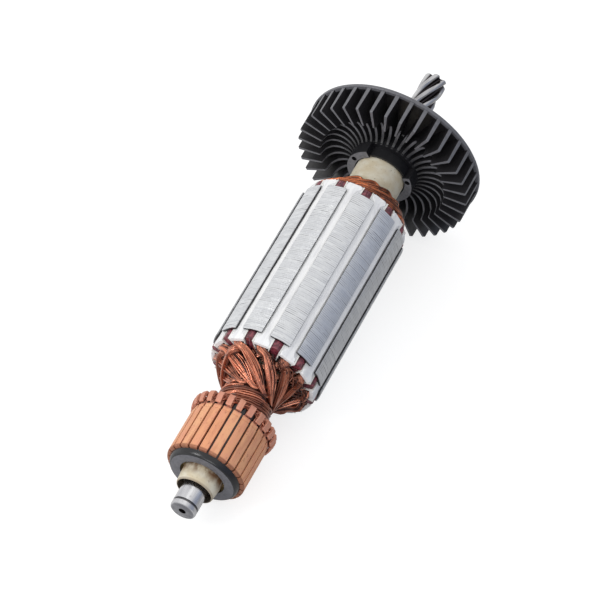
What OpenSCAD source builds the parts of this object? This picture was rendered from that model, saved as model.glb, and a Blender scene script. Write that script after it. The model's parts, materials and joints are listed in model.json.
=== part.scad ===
// Armature of a small universal motor: shaft with a helical pinion, laminated core,
// twelve coils, twenty-four bar commutator and cooling fan. It lies on a flat surface.
// Each piece is drawn about the rotor axis, with z = 0 at the commutator-side face of the core.

/* [Core] */
// Radius of the lamination stack
core_r = 18; // [18:0.1:18.6]
// Length of the lamination stack
core_len = 58.4; // [56:0.2:60]
// Width of the slot openings between the tooth tips
slot_opening = 2.9; // [2.6:0.1:3.1]
// Width of the parallel-sided teeth
tooth_w = 3; // [2.8:0.05:3.1]
// Radius at which the tooth tips start to overhang the slot
slot_shoulder_r = 16.75; // [16.7:0.05:16.8]
// Radius of the centre of the round slot bottom
slot_floor_r = 10.5; // [10.4:0.1:10.6]

/* [End insulation] */
// Thickness of the slot liner
liner_t = 0.35; // [0.3:0.05:0.4]
// How far liners and wedges stand out of the core
liner_out = 3.4; // [3.1:0.1:3.6]
// Thickness of the fibre stars on the core faces
fibre_t = 2.9; // [2:0.1:3]
// Radius of the fibre stars
fibre_r = 17.2; // [17:0.1:17.4]
// Radius of the outer face of the wedges
wedge_r = 17.35; // [17.2:0.05:17.5]
// Height of the wedges at the liner walls
wedge_h = 0.85; // [0.7:0.05:0.9]

/* [Commutator] */
// Radius of the brush track
bar_r = 12.5; // [12.4:0.05:12.6]
// Front end of the bars
bar_front_z = -40.8; // [-41.2:0.1:-40.6]
// Rear end of the bars, under the hooks
bar_rear_z = -21.2; // [-21.3:0.1:-21.1]
// End of the brush track
track_end_z = -26; // [-27:0.1:-25.6]
// Width of the grooves between the bars
groove_w = 0.65; // [0.5:0.05:0.8]
// Depth of the undercut grooves
groove_d = 0.8; // [0.6:0.1:1]
// Width of the hooks that hold the leads
hook_w = 1.8; // [1.8:0.1:2.2]
// Radius at the crest of the hooks
hook_r = 13.6; // [13.4:0.1:13.8]

/* [Shaft] */
// Radius of the journal at the commutator end
journal_r = 4; // [3.9:0.05:4.05]
// Radius of the shaft under the commutator
neck_shaft_r = 4.6; // [4.5:0.05:4.7]
// Radius of the shaft inside the core and of the drive-end journal
shaft_r = 5; // [4.9:0.05:5.1]
// Radius of the fan seat
seat_r = 5.5; // [5.4:0.05:5.6]
// Commutator end of the shaft
shaft_front_z = -55.1; // [-56:0.1:-54.5]
// Start of the pinion teeth
pinion_z = 105; // [104:0.5:106]
// Length of the pinion teeth
pinion_len = 17.2; // [15:0.1:18]
// Tip radius of the pinion
pinion_tip_r = 4; // [3.9:0.05:4.2]
// Root radius of the pinion
pinion_root_r = 2.4; // [2.3:0.05:2.6]
// Lead of the pinion teeth
pinion_lead = 48; // [44:1:60]

/* [Sleeve] */
// Outer radius of the insulating sleeve under the core
sleeve_r = 7.3; // [7.2:0.05:7.4]
// Outer radius of the sleeve under the commutator
neck_r = 6.3; // [6.2:0.05:6.35]
// Outer radius of the sleeve between core and fan
collar_r = 8.1; // [8:0.05:8.2]
// Commutator end of the sleeve
sleeve_front_z = -47.6; // [-48:0.1:-47]
// Fan end of the sleeve
sleeve_rear_z = 81; // [80.6:0.1:81.2]

/* [Fan] */
// Radius at the front corners of the vanes
vane_r = 28.9; // [28.6:0.1:29.2]
// Front plane of the vanes
vane_front_z = 80.7; // [80.4:0.1:81]
// Number of vanes
vane_count = 37; // [31:1:41]
// Thickness of a vane
vane_t = 1; // [0.8:0.05:1.1]
// Radius of the fan disc
disc_r = 29.2; // [29:0.1:29.4]
// Rear face of the fan disc
disc_rear_z = 91.2; // [91:0.1:91.6]
// Thickness of the fan disc
disc_t = 1.5; // [1.2:0.1:1.8]
// Radius of the hub boss
boss_r = 11.1; // [10.9:0.1:11.3]
// Front face of the hub boss
boss_front_z = 79.3; // [79:0.1:79.6]

/* [Winding] */
// Radius of the middle of the upper coil sides
upper_r = 14.5; // [14.4:0.05:14.55]
// Radius of the middle of the lower coil sides
lower_r = 11.6; // [11.55:0.05:11.7]
// Half of the radial height of a coil side
side_h = 1.2; // [1.1:0.05:1.25]
// Commutator end of the lead wraps on the neck
wraps_front_z = -20.9; // [-21:0.1:-20.8]

/* [Hidden] */
$fn = 96;
slots = 12;
slot_step = 360 / slots;
bars = 24;
bar_step = 360 / bars;
bar_turn = -1.3;
vane_step = 360 / vane_count;
vane_turn = -3.1;
two_digits = ["01", "02", "03", "04", "05", "06", "07", "08", "09", "10", "11", "12",
              "13", "14", "15", "16", "17", "18", "19", "20", "21", "22", "23", "24"];

// Resting attitude: the commutator rim and the nearest vane corner touch the surface.
rim_bevel = 0.4;
rest_points = [[bar_r, bar_front_z + rim_bevel],
               [core_r * cos(asin(slot_opening / 2 / core_r)), 0],
               [vane_r * cos(vane_turn) + vane_t / 2 * sin(abs(vane_turn)), vane_front_z]];
rest_tilt = atan((rest_points[2][0] - rest_points[0][0]) / (rest_points[2][1] - rest_points[0][1]));
rest_lift = max([for (p = rest_points) p[0] * cos(rest_tilt) - p[1] * sin(rest_tilt)]);
pinion_end_z = pinion_z + pinion_len;
rest_shift = -(shaft_front_z + pinion_end_z) / 2 * cos(rest_tilt);

module placed() {
    translate([rest_shift, 0, rest_lift]) rotate([0, 90 - rest_tilt, 0]) children();
}

module turned(outline) {
    rotate_extrude() polygon(outline);
}

module around(count, start = 0) {
    for (i = [0:count - 1]) rotate([0, 0, start + i * 360 / count]) children();
}

// ---- Shaft with its pinion ----

pinion_teeth = 6;
pinion_land = 0.22;
tooth_points = [[-0.5, pinion_root_r], [-0.36, pinion_root_r], [-0.27, 3.2], [-pinion_land / 2, pinion_tip_r],
                [pinion_land / 2, pinion_tip_r], [0.27, 3.2], [0.36, pinion_root_r]];
pinion_outline = [for (i = [0:pinion_teeth - 1]) for (p = tooth_points)
    let (a = (i + p[0]) * 360 / pinion_teeth) p[1] * [cos(a), sin(a)]];

module pinion() {
    translate([0, 0, pinion_z])
        linear_extrude(height = pinion_len, twist = -360 * pinion_len / pinion_lead, slices = 20, $fn = 0)
            polygon(pinion_outline);
}

shaft_step_z = -24;
seat_front_z = 76;
seat_rear_z = 93;
shaft_relief_z = shaft_front_z + 1.6;
shaft_relief_w = 0.6;
shaft_relief_d = 0.25;
shaft_outline = [
    [0, shaft_front_z], [journal_r - 0.4, shaft_front_z], [journal_r, shaft_front_z + 0.4],
    [journal_r, shaft_relief_z], [journal_r - shaft_relief_d, shaft_relief_z],
    [journal_r - shaft_relief_d, shaft_relief_z + shaft_relief_w],
    [journal_r, shaft_relief_z + shaft_relief_w],
    [journal_r, sleeve_front_z], [neck_shaft_r, sleeve_front_z], [neck_shaft_r, shaft_step_z],
    [shaft_r, shaft_step_z], [shaft_r, seat_front_z], [seat_r, seat_front_z],
    [seat_r, seat_rear_z], [shaft_r, seat_rear_z], [shaft_r, pinion_z - 1.4],
    [pinion_tip_r + 0.1, pinion_z - 0.5], [pinion_tip_r + 0.1, pinion_z + 0.2], [0, pinion_z + 0.2]];
centre_hole_r = 0.9;
centre_hole_depth = 2.4;

module shaft() {
    color("silver") placed() difference() {
        union() {
            turned(shaft_outline);
            pinion();
        }
        translate([0, 0, shaft_front_z - 1]) cylinder(r = centre_hole_r, h = centre_hole_depth + 1);
        translate([0, 0, pinion_end_z - centre_hole_depth])
            cylinder(r = centre_hole_r, h = centre_hole_depth + 1);
    }
}

// ---- Insulating sleeve on the shaft ----

sleeve_pocket_r = 5.2;
sleeve_pocket_z = sleeve_front_z + 4;
sleeve_step_z = -fibre_t;

module insulating_sleeve() {
    color("beige") placed() turned([
        [sleeve_pocket_r, sleeve_front_z], [neck_r - 0.75, sleeve_front_z],
        [neck_r - 0.45, sleeve_front_z + 0.3],
        [neck_r, bar_front_z - 1.2], [neck_r, sleeve_step_z], [sleeve_r, sleeve_step_z],
        [sleeve_r, core_len], [collar_r, core_len], [collar_r, sleeve_rear_z],
        [seat_r, sleeve_rear_z], [seat_r, seat_front_z], [shaft_r, seat_front_z],
        [shaft_r, shaft_step_z], [neck_shaft_r, shaft_step_z], [neck_shaft_r, sleeve_pocket_z],
        [sleeve_pocket_r, sleeve_pocket_z]]);
}

// ---- Lamination stack and slot insulation ----

// Half width of a slot at radius r, beside parallel-sided teeth.
function slot_half(r) = r * tan(slot_step / 2) - tooth_w / 2 / cos(slot_step / 2);
// The same inside the liner.
function lined_half(r) = slot_half(r) - liner_t / cos(slot_step / 2);
neck_drop = 0.4;
floor_half = slot_half(slot_floor_r);
slot_mouth_r = slot_shoulder_r + neck_drop;

function mirrored(points) = concat(points, [for (i = [len(points) - 1:-1:0]) [points[i][0], -points[i][1]]]);

module slot_body() {
    polygon(mirrored([[slot_shoulder_r, slot_half(slot_shoulder_r)], [slot_floor_r, floor_half]]));
    translate([slot_floor_r, 0]) circle(r = floor_half);
}

module slot_shape() {
    slot_body();
    polygon(mirrored([[core_r + 1, slot_opening / 2], [slot_mouth_r, slot_opening / 2],
                      [slot_shoulder_r, slot_half(slot_shoulder_r)], [slot_shoulder_r - 1, 0]]));
}

module lamination_stack() {
    color("lightsteelblue") placed() linear_extrude(height = core_len) difference() {
        circle(r = core_r);
        circle(r = sleeve_r);
        around(slots) slot_shape();
    }
}

// A star of fibre board with one straight arm on each tooth.
module fibre_star(bore_r) {
    linear_extrude(height = fibre_t) difference() {
        circle(r = fibre_r);
        circle(r = bore_r);
        around(slots) {
            slot_body();
            polygon(mirrored([[fibre_r + 1, slot_half(fibre_r + 1)], [slot_floor_r, floor_half]]));
        }
    }
}

module front_fibre_star() {
    color("firebrick") placed() translate([0, 0, -fibre_t]) fibre_star(sleeve_r);
}

module rear_fibre_star() {
    color("firebrick") placed() translate([0, 0, core_len]) fibre_star(collar_r);
}

module insulation_length() {
    translate([0, 0, -liner_out]) linear_extrude(height = core_len + 2 * liner_out) children();
}

module slot_liners() {
    color("white") placed() insulation_length() around(slots) difference() {
        slot_body();
        polygon(mirrored([[slot_shoulder_r + 1, lined_half(slot_shoulder_r + 1)],
                          [slot_floor_r, lined_half(slot_floor_r)]]));
        translate([slot_floor_r, 0]) circle(r = lined_half(slot_floor_r));
    }
}

wedge_edge_r = slot_shoulder_r;
wedge_foot_r = slot_shoulder_r - wedge_h;

module slot_wedge(i) {
    color("white") placed() rotate([0, 0, i * slot_step]) insulation_length()
        polygon(mirrored([[wedge_r, slot_opening / 2 - 0.05], [slot_mouth_r - 0.05, slot_opening / 2 - 0.05],
                          [wedge_edge_r, lined_half(wedge_edge_r)],
                          [wedge_foot_r, lined_half(wedge_foot_r)]]));
}

// ---- Commutator ----

bar_arc = bar_step - 2 * asin(groove_w / 2 / bar_r);
dovetail_r = 9.4;
bar_outline = [
    [bar_r - rim_bevel, bar_front_z], [bar_r, bar_front_z + rim_bevel], [bar_r, track_end_z],
    [bar_r - 0.2, track_end_z + 0.2], [bar_r - 0.2, track_end_z + 1.6], [bar_r - 0.9, track_end_z + 1.7],
    [bar_r - 0.9, bar_rear_z], [dovetail_r + 0.8, bar_rear_z], [dovetail_r, bar_rear_z - 1.6],
    [dovetail_r, bar_front_z + 1.6], [dovetail_r + 0.9, bar_front_z]];
hook_front_z = track_end_z + 1.8;
hook_rear_z = bar_rear_z + 0.7;
hook_outline = [
    [dovetail_r + 1, bar_rear_z], [dovetail_r + 1, hook_rear_z], [hook_r - 0.6, hook_rear_z],
    [hook_r, hook_rear_z - 0.6], [hook_r - 0.05, hook_rear_z - 1.9], [hook_r - 0.5, hook_front_z],
    [hook_r - 1.1, hook_front_z], [hook_r - 0.75, hook_rear_z - 1.8], [hook_r - 0.9, bar_rear_z]];

module bar_body() {
    rotate([0, 0, -bar_arc / 2]) rotate_extrude(angle = bar_arc) polygon(bar_outline);
}

module commutator_bar(i) {
    color("sandybrown") placed() rotate([0, 0, bar_turn + i * bar_step]) {
        bar_body();
        rotate([90, 0, 0]) linear_extrude(height = hook_w, center = true) polygon(hook_outline);
    }
}

bush_r = 7.4;
moulding_front_z = bar_front_z - 1.8;
moulding_rear_z = bar_rear_z;

module commutator_bush() {
    color("goldenrod") placed() turned([
        [neck_r, bar_front_z], [bush_r, bar_front_z], [bush_r, moulding_rear_z], [neck_r, moulding_rear_z]]);
}

module commutator_moulding() {
    color("dimgray") placed() difference() {
        turned([[bush_r - 0.3, moulding_front_z], [10.4, moulding_front_z], [10.75, moulding_front_z + 0.35],
                [11, moulding_front_z + 1], [bar_r - rim_bevel - 0.2, bar_front_z],
                [bar_r - groove_d, bar_front_z + 0.3], [bar_r - groove_d, track_end_z + 1.2],
                [bar_r - groove_d - 0.3, track_end_z + 1.2], [bar_r - groove_d - 0.3, moulding_rear_z],
                [bush_r, moulding_rear_z],
                [bush_r, bar_front_z], [bush_r - 0.3, bar_front_z]]);
        around(bars, bar_turn) bar_body();
    }
}

// ---- Winding ----

end_turn = 75;
bend = liner_out + 0.3;
// Stations of one end turn: [angle, radius, distance from the core face, half height, half width].
front_turn = [
    [0, upper_r, bend, side_h, 1.6], [6, 14.8, bend + 1.1, 1.15, 1.5],
    [18, 13.6, 5.7, 1.1, 1.35], [33, 12, 7.3, 1.05, 1.2], [48, 10.6, 9.1, 1, 1.05],
    [60, 9.4, 10.6, 0.95, 0.95], [68, 8.7, 11.7, 0.9, 0.9], [end_turn, 8, 12.3, 0.85, 0.9],
    [82, 7.4, 11.8, 0.85, 0.9], [92, 7.3, 10.6, 0.85, 0.95], [108, 7.6, 8.6, 0.9, 0.95],
    [126, 8.7, 6.6, 1, 1], [142, 10.4, 5, 1.1, 1], [150, lower_r, bend, side_h, 0.95]];
rear_turn = [
    [0, upper_r, bend, side_h, 1.6], [6, 15, bend + 0.9, 1.25, 1.5], [18, 14.6, 5.6, 1.2, 1.35],
    [33, 13.8, 6.9, 1.2, 1.3], [48, 12.9, 8.35, 1.15, 1.2], [60, 12.1, 9.8, 1.05, 1.1],
    [68, 11.4, 10.8, 1, 1.05], [end_turn, 10.4, 11.4, 1, 1], [82, 9.4, 10.8, 1, 1],
    [92, 9.25, 9.6, 1, 1], [108, 9.3, 7.8, 1, 1], [126, 9.6, 6, 1.05, 1],
    [142, 10.6, 4.7, 1.1, 1], [150, lower_r, bend, side_h, 0.95]];

function station(s, z) = [s[1] * cos(s[0]), s[1] * sin(s[0]), z];
function unit(v) = v / norm(v);
coil_path = concat(
    [for (s = rear_turn) station(s, core_len + s[2])],
    [for (i = [len(front_turn) - 1:-1:0]) station(front_turn[i], -front_turn[i][2])]);
coil_halves = concat(
    [for (s = rear_turn) [s[3], s[4]]],
    [for (i = [len(front_turn) - 1:-1:0]) [front_turn[i][3], front_turn[i][4]]]);
ring_sides = 6;
ring_count = len(coil_path);

// One ring of the coil: a hexagon across the path, flat side outwards.
function coil_ring(k) =
    let (before = coil_path[(k + ring_count - 1) % ring_count],
         here = coil_path[k],
         after = coil_path[(k + 1) % ring_count],
         along = unit(unit(here - before) + unit(after - here)),
         outward = unit([here[0], here[1], 0]),
         up = unit(outward - (outward * along) * along),
         side = cross(along, up))
    [for (j = [0:ring_sides - 1]) let (a = (j + 0.5) * 360 / ring_sides)
        here + coil_halves[k][0] * cos(a) / cos(180 / ring_sides) * up + coil_halves[k][1] * sin(a) * side];

coil_points = [for (k = [0:ring_count - 1]) each coil_ring(k)];
coil_faces = [for (k = [0:ring_count - 1]) for (j = [0:ring_sides - 1])
    let (n = (k + 1) % ring_count, m = (j + 1) % ring_sides)
    each [[k * ring_sides + j, n * ring_sides + m, k * ring_sides + m],
          [k * ring_sides + j, n * ring_sides + j, n * ring_sides + m]]];

module coil(i) {
    color("sienna") placed() rotate([0, 0, i * slot_step]) polyhedron(coil_points, coil_faces);
}

wrap_wire_r = 0.42;
wrap_base_r = 8;
wrap_count = 8;
wraps_rear_z = -14.2;
lead_r = 0.42;

// The leads run round the neck and then out to the hooks.
module lead_wraps() {
    color("peru") placed() {
        rotate_extrude() {
            translate([neck_r, wraps_front_z]) square([wrap_base_r - neck_r, wraps_rear_z - wraps_front_z]);
            for (k = [0:wrap_count - 1])
                translate([wrap_base_r, wraps_front_z + wrap_wire_r
                    + k * (wraps_rear_z - wraps_front_z - 2 * wrap_wire_r) / (wrap_count - 1)])
                    circle(r = wrap_wire_r, $fn = 24);
        }
        around(bars, bar_turn + bar_step / 2)
            translate([wrap_base_r - 0.6, 0, wraps_front_z + 0.75]) rotate([0, 90, 0])
                cylinder(r = lead_r, h = 4.6, $fn = 24);
    }
}

// ---- Fan ----

disc_front_z = disc_rear_z - disc_t;
vane_outline = [
    [boss_r - 0.4, 83.4], [12.2, 84.8], [14.5, 85.7], [17, 85.9], [19.2, 85.2], [20.6, 83.5],
    [21.1, vane_front_z], [vane_r, vane_front_z], [disc_r - 0.3, disc_front_z + 0.2],
    [boss_r - 0.4, disc_front_z + 0.2]];
collar_pocket_r = 8.5;
collar_ring_r = 9.2;
notch_floor_z = 83.6;
notch_turn = 20.2;
notch_half = 45;
fan_hole_r = 0.85;
fan_hole_ring_r = 9.75;
fan_hole_turns = [117, -103];

module notch_sector() {
    rotate([0, 0, notch_turn - notch_half]) rotate_extrude(angle = 2 * notch_half)
        polygon([[collar_ring_r, boss_front_z - 1], [boss_r + 1, boss_front_z - 1],
                 [boss_r + 1, notch_floor_z], [collar_ring_r, notch_floor_z]]);
}

module fan() {
    color([0.16, 0.16, 0.17]) placed() {
        difference() {
            turned([[seat_r, sleeve_rear_z], [collar_pocket_r, sleeve_rear_z],
                    [collar_pocket_r, boss_front_z],
                    [boss_r - 0.4, boss_front_z], [boss_r, boss_front_z + 0.4], [boss_r, disc_front_z],
                    [disc_r - 0.5, disc_front_z], [disc_r, disc_front_z + 0.5], [disc_r, disc_rear_z - 0.3],
                    [disc_r - 0.3, disc_rear_z], [8.5, disc_rear_z],
                    [8, disc_rear_z + 1], [seat_r, disc_rear_z + 1]]);
            around(2) notch_sector();
            for (a = fan_hole_turns) rotate([0, 0, a])
                translate([fan_hole_ring_r, 0, boss_front_z - 1]) cylinder(r = fan_hole_r, h = 5);
        }
        around(vane_count, vane_turn)
            rotate([90, 0, 0]) linear_extrude(height = vane_t, center = true) polygon(vane_outline);
    }
}

shaft();
insulating_sleeve();
lamination_stack();
front_fibre_star();
rear_fibre_star();
slot_liners();
commutator_bush();
commutator_moulding();
lead_wraps();
fan();
for (i = [0:slots - 1]) {
    slot_wedge(i);
    coil(i);
}
for (i = [0:bars - 1])
    commutator_bar(i);
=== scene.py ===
"""Motor armature: wire, sheet metal, mouldings and finishes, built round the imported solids.

Every piece is drawn in rotor space: millimetres, z along the axis from the commutator-side core
face towards the pinion, x towards the floor at rest, y across. ROTOR places it in the frame.
"""

import json
import math
import random

import bpy
import numpy as np
from mathutils import Matrix, Vector
from mathutils.geometry import tessellate_polygon


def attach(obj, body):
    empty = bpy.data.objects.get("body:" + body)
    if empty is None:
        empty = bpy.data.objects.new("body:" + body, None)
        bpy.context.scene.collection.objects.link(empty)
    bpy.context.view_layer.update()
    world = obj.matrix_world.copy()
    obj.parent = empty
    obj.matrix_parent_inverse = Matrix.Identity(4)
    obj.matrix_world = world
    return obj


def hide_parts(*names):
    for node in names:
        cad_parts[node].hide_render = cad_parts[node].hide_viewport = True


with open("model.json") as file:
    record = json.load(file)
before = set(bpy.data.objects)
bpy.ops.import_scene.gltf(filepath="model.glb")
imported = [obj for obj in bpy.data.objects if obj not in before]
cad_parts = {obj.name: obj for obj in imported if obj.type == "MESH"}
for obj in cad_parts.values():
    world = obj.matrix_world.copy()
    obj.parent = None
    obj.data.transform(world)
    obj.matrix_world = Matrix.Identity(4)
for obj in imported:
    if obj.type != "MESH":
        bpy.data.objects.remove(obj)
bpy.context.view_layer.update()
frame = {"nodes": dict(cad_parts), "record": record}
NODES = frame["nodes"]
TAU = 2 * math.pi
MM = 0.001

# ---- Camera ----

CAMERA_AT = Vector((-0.53931, -0.215421, 0.657495))
CAMERA_FORWARD = Vector((0.620697, 0.253370, -0.741983))
CAMERA_UP = Vector((0.653901, 0.354870, 0.668192))
CAMERA_LENS_MM = 170.0
CAMERA_SENSOR_MM = 36


def add_camera():
    data = bpy.data.cameras.new("camera")
    data.sensor_width = CAMERA_SENSOR_MM
    data.lens = CAMERA_LENS_MM
    data.clip_start = 0.01
    camera = bpy.data.objects.new("camera", data)
    forward = CAMERA_FORWARD.normalized()
    right = forward.cross(CAMERA_UP).normalized()
    up = right.cross(forward)
    camera.matrix_world = Matrix.Translation(CAMERA_AT) @ Matrix((right, up, -forward)).transposed().to_4x4()
    bpy.context.scene.collection.objects.link(camera)
    bpy.context.scene.camera = camera


add_camera()

# ---- Rotor space, from the two journals and the core in the frame ----

mounts = {m["name"]: m for m in frame["record"]["mounts"]}
front_journal = Vector(mounts["journal_commutator_end"]["pos_m"])
rear_journal = Vector(mounts["journal_drive_end"]["pos_m"])
AXIS = (rear_journal - front_journal).normalized()
ACROSS = Vector((0, 1, 0))
DOWN = ACROSS.cross(AXIS)
core_start = min((v.co - front_journal).dot(AXIS) for v in NODES["lamination_stack"].data.vertices)
CORE_FRONT = front_journal + AXIS * core_start
ROTOR = (Matrix.Translation(CORE_FRONT) @ Matrix((DOWN, ACROSS, AXIS)).transposed().to_4x4()
         @ Matrix.Scale(MM, 4))
TO_ROTOR = ROTOR.inverted()


def reach(node):
    """Lowest station, highest station and largest radius of a CAD node in rotor space."""
    points = [TO_ROTOR @ v.co for v in NODES[node].data.vertices]
    return (min(p.z for p in points), max(p.z for p in points), max(math.hypot(p.x, p.y) for p in points))


def polar(radius, turn, z):
    """A point in rotor space at an angle in degrees."""
    return (radius * math.cos(math.radians(turn)), radius * math.sin(math.radians(turn)), z)


# ---- Mesh helpers ----


class Mesh:
    """Vertices, faces and a tint for each vertex, collected in rotor space."""

    def __init__(self):
        self.points, self.faces, self.tints = [], [], []

    def add(self, points, faces, tint=0.5):
        base = len(self.points)
        self.points.extend(tuple(p) for p in points)
        self.tints.extend([tint] * len(points))
        self.faces.extend(tuple(base + i for i in face) for face in faces)

    def piece(self, name, slot, material, replaces=(), sharp=35, bevel=0.0, segments=2):
        mesh = bpy.data.meshes.new(name)
        mesh.from_pydata([ROTOR @ Vector(p) for p in self.points], [], self.faces)
        tint = mesh.attributes.new("tint", "FLOAT", "POINT")
        tint.data.foreach_set("value", self.tints)
        mesh.validate()
        mesh.materials.append(material)
        mesh.shade_smooth()
        mesh.set_sharp_from_angle(angle=math.radians(sharp))
        piece = bpy.data.objects.new(name, mesh)
        bpy.context.scene.collection.objects.link(piece)
        if bevel:
            edge = piece.modifiers.new("edge", "BEVEL")
            edge.width = bevel * MM
            edge.segments = segments
            edge.limit_method = "ANGLE"
            edge.angle_limit = math.radians(sharp)
            edge.use_clamp_overlap = True
        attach(piece, "root")
        if replaces:
            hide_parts(*replaces)
        return piece


def turned(outline, start=0.0, sweep=360.0, steps=128):
    """A closed (radius, z) outline turned about the axis; a part turn gets end caps."""
    whole = sweep >= 360
    turns = [start + sweep * k / steps for k in range(steps if whole else steps + 1)]
    points = [polar(r, turn, z) for turn in turns for r, z in outline]
    n, rings = len(outline), len(turns)
    faces = []
    for k in range(rings if whole else rings - 1):
        for j in range(n):
            a, b = k * n + j, k * n + (j + 1) % n
            c, d = (b + n) % (rings * n), (a + n) % (rings * n)
            faces.append((a, d, c, b))
    if not whole:
        faces += [tuple(range(n)), tuple(range((rings - 1) * n + n - 1, (rings - 1) * n - 1, -1))]
    return points, faces


def rotated(points, turn):
    c, s = math.cos(math.radians(turn)), math.sin(math.radians(turn))
    return [(c * x - s * y, s * x + c * y, z) for x, y, z in points]


def skin(rings, n):
    """Faces round a stack of rings of n points each."""
    return [(a + j, a + (j + 1) % n, a + n + (j + 1) % n, a + n + j)
            for a in range(0, (rings - 1) * n, n) for j in range(n)]


def caps(rings, n):
    """The first and the last ring of a stack as faces that look outwards."""
    return [tuple(reversed(range(n))), tuple(range((rings - 1) * n, rings * n))]


def smooth_path(stations, steps):
    """A Catmull-Rom curve through rows of numbers, with steps between each two rows."""
    rows = np.array(stations, float)
    out = []
    for k in range(len(rows) - 1):
        a, b, c, d = rows[max(k - 1, 0)], rows[k], rows[k + 1], rows[min(k + 2, len(rows) - 1)]
        for t in np.arange(steps) / steps:
            out.append(0.5 * (2 * b + (c - a) * t + (2 * a - 5 * b + 4 * c - d) * t ** 2
                              + (3 * b - a - 3 * c + d) * t ** 3))
    return np.array(out + [rows[-1]])


def crosswise(path, closed, nudge=0.0):
    """Two directions across a path at each of its points: away from the axis, and sideways."""
    along = np.roll(path, -1, 0) - np.roll(path, 1, 0) if closed else np.gradient(path, axis=0)
    along /= np.linalg.norm(along, axis=1)[:, None]
    outward = path * (1, 1, 0)
    outward /= np.maximum(np.linalg.norm(outward, axis=1), 1e-6)[:, None]
    up = outward - (outward * along).sum(1)[:, None] * along + nudge
    up /= np.linalg.norm(up, axis=1)[:, None]
    return up, np.cross(along, up)


def wire(path, radius, sides=6, closed=False):
    """A round wire along a path; its sections keep one side turned away from the axis."""
    n = len(path)
    up, side = crosswise(path, closed, 1e-4)
    turns = np.arange(sides) * TAU / sides
    rings = [path + radius * (math.cos(a) * up + math.sin(a) * side) for a in turns]
    faces = skin(n, sides)
    if closed:
        last = (n - 1) * sides
        faces += [(last + j, last + (j + 1) % sides, (j + 1) % sides, j) for j in range(sides)]
    else:
        faces += caps(n, sides)
    return np.stack(rings, 1).reshape(-1, 3).tolist(), faces


def lathe(chain, steps):
    """An open chain of (radius, z) turned about the axis and closed by a flat disc at each end."""
    points = [polar(r, 360 * k / steps, z) for r, z in chain for k in range(steps)]
    return points, skin(len(chain), steps) + caps(len(chain), steps)


def plate(loops, low, high):
    """A flat plate from low to high; the first (x, y) loop is its outline, the others are its holes."""
    flat = [Vector((x, y, 0)) for loop in loops for x, y in loop]
    caps = tessellate_polygon([[Vector((x, y, 0)) for x, y in loop] for loop in loops])
    n = len(flat)
    points = [(p.x, p.y, z) for z in (low, high) for p in flat]
    faces = [tuple(reversed(upward(flat, cap))) for cap in caps]
    faces += [tuple(n + i for i in upward(flat, cap)) for cap in caps]
    start = 0
    for index, loop in enumerate(loops):
        order = list(range(start, start + len(loop)))
        if (signed_area(loop) < 0) != (index > 0):
            order.reverse()
        for a, b in zip(order, order[1:] + order[:1]):
            faces.append((a, b, n + b, n + a))
        start += len(loop)
    return points, faces


def signed_area(loop):
    return sum(a[0] * b[1] - b[0] * a[1] for a, b in zip(loop, loop[1:] + loop[:1])) / 2


def upward(flat, cap):
    """A triangle of a cap, turned so that it faces along +z."""
    a, b, c = (flat[i] for i in cap)
    return cap if (b - a).cross(c - a).z > 0 else (cap[0], cap[2], cap[1])


# ---- Shader groups ----


class Graph:
    """Adds nodes to a shader tree; an input takes a number, a colour or another node's output."""

    def __init__(self, tree):
        self.tree = tree

    def add(self, kind, inputs=None, **settings):
        node = self.tree.nodes.new(kind)
        for name, value in settings.items():
            setattr(node, name, value)
        for socket, value in (inputs or {}).items():
            if isinstance(value, bpy.types.NodeSocket):
                self.tree.links.new(value, node.inputs[socket])
            else:
                node.inputs[socket].default_value = value
        return node

    def math(self, operation, a, b=0.0):
        return self.add("ShaderNodeMath", {0: a, 1: b}, operation=operation).outputs[0]

    def dot(self, a, b):
        return self.add("ShaderNodeVectorMath", {0: a, 1: b}, operation="DOT_PRODUCT").outputs[1]

    def ramp(self, value, low, high, interpolation="SMOOTHSTEP"):
        """A mask that is 0 where the value is low and 1 where it is high."""
        return self.add("ShaderNodeMapRange", {"Value": value, "From Min": low, "From Max": high},
                        interpolation_type=interpolation).outputs[0]

    def between(self, mask, low, high):
        """A number that goes from low to high with the mask."""
        return self.add("ShaderNodeMapRange", {"Value": mask, "To Min": low, "To Max": high}).outputs[0]

    def mix(self, mask, a, b):
        """Colour a where the mask is 0 and colour b where it is 1."""
        node = self.add("ShaderNodeMix", data_type="RGBA")
        for socket, value in (("Factor_Float", mask), ("A_Color", a), ("B_Color", b)):
            target = next(s for s in node.inputs if s.identifier == socket)
            if isinstance(value, bpy.types.NodeSocket):
                self.tree.links.new(value, target)
            else:
                target.default_value = value
        return next(s for s in node.outputs if s.identifier == "Result_Color")


def rgb(red, green, blue):
    return (red, green, blue, 1.0)


class Group(Graph):
    """A shared shader group; a tuple as a default makes a vector input, a number a plain one."""

    def __init__(self, name, inputs, outputs=("Float Mask",)):
        tree = bpy.data.node_groups.new(name, "ShaderNodeTree")
        for label, default in inputs.items():
            kind = "Vector" if isinstance(default, tuple) else "Float"
            socket = tree.interface.new_socket(label, in_out="INPUT", socket_type="NodeSocket" + kind)
            socket.default_value = default
        for output in outputs:
            kind, label = output.split()
            tree.interface.new_socket(label, in_out="OUTPUT", socket_type="NodeSocket" + kind)
        super().__init__(tree)
        self.given = self.add("NodeGroupInput").outputs
        self.out = self.add("NodeGroupOutput").inputs

    def give(self, **values):
        """Links the outputs and returns the finished tree."""
        for label, value in values.items():
            self.tree.links.new(value, self.out[label])
        return self.tree


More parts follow.
